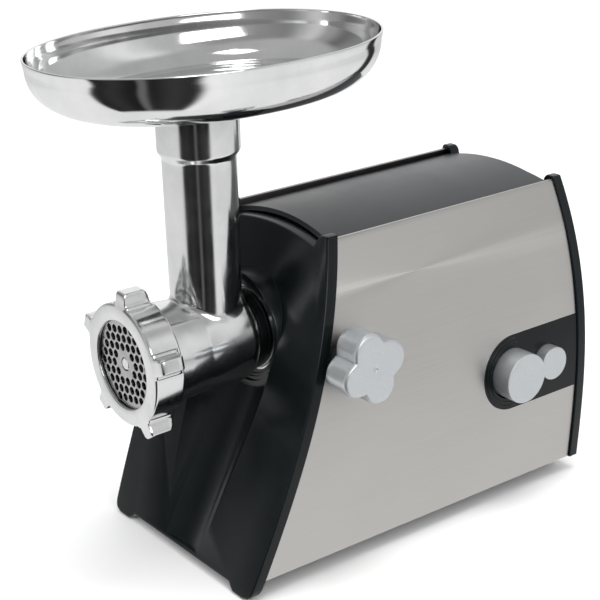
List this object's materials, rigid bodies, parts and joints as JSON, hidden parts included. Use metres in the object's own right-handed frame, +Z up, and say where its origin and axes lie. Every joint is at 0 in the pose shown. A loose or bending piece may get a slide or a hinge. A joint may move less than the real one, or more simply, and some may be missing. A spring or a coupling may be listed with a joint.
{
  "type": "electric meat grinder",
  "caption": "Kitchen meat grinder: steel-sided motor housing with a leaning black front, cast head with feed tube, oval tray, lugged ring nut, clamp knob and push buttons.",
  "frame": {"origin": "bottom centre of the whole object's box, on the plane the feet stand on", "axes": "+Z up, +Y from the grinding plate towards the rear cover, +X towards the side with the knob and the buttons"},
  "size_m": [0.186, 0.3548, 0.3232],
  "materials": {
    "steel_sheet": "fine brushed stainless sheet",
    "black_gloss": "glossy black moulding",
    "black_satin": "satin black moulding",
    "black_matt": "matt black moulding",
    "cast_aluminium": "polished casting",
    "spun_aluminium": "mirror polished sheet",
    "satin_silver": "satin silver paint",
    "rubber": "matt",
    "tool_steel": "ground",
    "nylon": "natural nylon",
    "zinc": "die cast",
    "bronze": "sintered",
    "copper": "enamelled winding",
    "lamination": "varnished laminations",
    "carbon": "carbon",
    "board": "printed circuit board"
  },
  "bodies": {
    "housing": {"front_cover": "black_gloss", "rear_cover": "black_gloss", "left_side_panel": "steel_sheet", "right_side_panel": "steel_sheet", "top_cover": "black_satin", "base_plate": "black_matt", "cord_gland": "rubber", "foot_front_left": "rubber", "foot_front_right": "rubber", "foot_rear_left": "rubber", "foot_rear_right": "rubber", "control_panel": "black_gloss", "on_off_switch": "black_matt", "reverse_switch": "black_matt", "on_off_spring": "tool_steel", "reverse_spring": "tool_steel", "clamp_nut": "zinc", "clamp_collar": "black_satin", "head_socket": "cast_aluminium", "gearbox_housing": "zinc", "gearbox_cover": "zinc", "output_bush": "bronze", "gear_2_pin": "tool_steel", "gear_1_pin": "tool_steel", "stator_core": "lamination", "field_coil_left": "copper", "field_coil_right": "copper", "front_bearing": "tool_steel", "rear_bearing": "tool_steel", "motor_bracket": "zinc", "brush_left": "carbon", "brush_right": "carbon", "circuit_board": "board"},
    "head": {"head_casting": "cast_aluminium", "plate_key": "tool_steel"},
    "tray": {"hopper_tray": "spun_aluminium"},
    "plate": {"grinding_plate": "tool_steel"},
    "ring": {"ring_nut": "cast_aluminium"},
    "worm": {"auger": "cast_aluminium", "auger_washer": "nylon", "auger_coupling": "nylon", "cutting_blade": "tool_steel"},
    "output": {"output_shaft": "tool_steel", "output_gear": "nylon"},
    "second_gear": {"gear_2": "nylon"},
    "first_gear": {"gear_1": "nylon"},
    "armature": {"armature_shaft": "tool_steel", "motor_pinion": "tool_steel", "armature_core": "lamination", "commutator": "copper", "cooling_fan": "black_matt"},
    "clamp_tip": {"clamp_pad": "nylon"},
    "clamp": {"clamp_knob": "satin_silver", "clamp_screw": "zinc"},
    "on_off": {"on_off_button": "satin_silver"},
    "reverse": {"reverse_button": "satin_silver"}
  },
  "joints": [
    {"name": "head_slide", "type": "slide", "parent": "housing", "child": "head", "axis": [0, -1, 0], "range_m": [0, 0.045]},
    {"name": "tray_lift", "type": "slide", "parent": "head", "child": "tray", "axis": [0, 0, 1], "range_m": [0, 0.03]},
    {"name": "plate_slide", "type": "slide", "parent": "head", "child": "plate", "axis": [0, -1, 0], "range_m": [0, 0.0161]},
    {"name": "ring_turn", "type": "hinge", "parent": "plate", "child": "ring", "pos_m": [-0.01046, -0.1274, 0.1393], "axis": [0, -1, 0], "range_deg": [0, 1440]},
    {"name": "auger_spin", "type": "hinge", "parent": "head", "child": "worm", "pos_m": [-0.01046, -0.0754, 0.1393], "axis": [0, 1, 0], "continuous": true},
    {"name": "output_spin", "type": "hinge", "parent": "housing", "child": "output", "pos_m": [-0.01046, 0.0146, 0.1393], "axis": [0, 1, 0], "continuous": true},
    {"name": "gear_2_spin", "type": "hinge", "parent": "housing", "child": "second_gear", "pos_m": [0.00345, 0.0146, 0.0965], "axis": [0, 1, 0], "continuous": true},
    {"name": "gear_1_spin", "type": "hinge", "parent": "housing", "child": "first_gear", "pos_m": [-0.02505, 0.0196, 0.07728], "axis": [0, 1, 0], "continuous": true},
    {"name": "armature_spin", "type": "hinge", "parent": "housing", "child": "armature", "pos_m": [-0.01051, 0.0746, 0.05572], "axis": [0, 1, 0], "continuous": true},
    {"name": "clamp_travel", "type": "slide", "parent": "housing", "child": "clamp_tip", "axis": [1, 0, 0], "range_m": [0, 0.00451]},
    {"name": "clamp_turn", "type": "hinge", "parent": "clamp_tip", "child": "clamp", "pos_m": [0.07954, -0.0274, 0.1393], "axis": [1, 0, 0], "range_deg": [0, 1080]},
    {"name": "on_off_press", "type": "slide", "parent": "housing", "child": "on_off", "axis": [-1, 0, 0], "range_m": [0, 0.004], "stiffness_N_per_m": 900, "springref_m": -0.002, "deforming": ["on_off_spring"]},
    {"name": "reverse_press", "type": "slide", "parent": "housing", "child": "reverse", "axis": [-1, 0, 0], "range_m": [0, 0.003], "stiffness_N_per_m": 700, "springref_m": -0.002, "deforming": ["reverse_spring"]}
  ],
  "couplings": [
    {"joint": "plate_slide", "follows": "ring_turn", "m_per_rad": 0.00063662},
    {"joint": "clamp_travel", "follows": "clamp_turn", "m_per_rad": 0.00023873},
    {"joint": "auger_spin", "follows": "output_spin", "ratio": 1},
    {"joint": "gear_2_spin", "follows": "output_spin", "ratio": -4},
    {"joint": "gear_1_spin", "follows": "output_spin", "ratio": 16},
    {"joint": "armature_spin", "follows": "output_spin", "ratio": -67.2}
  ]
}
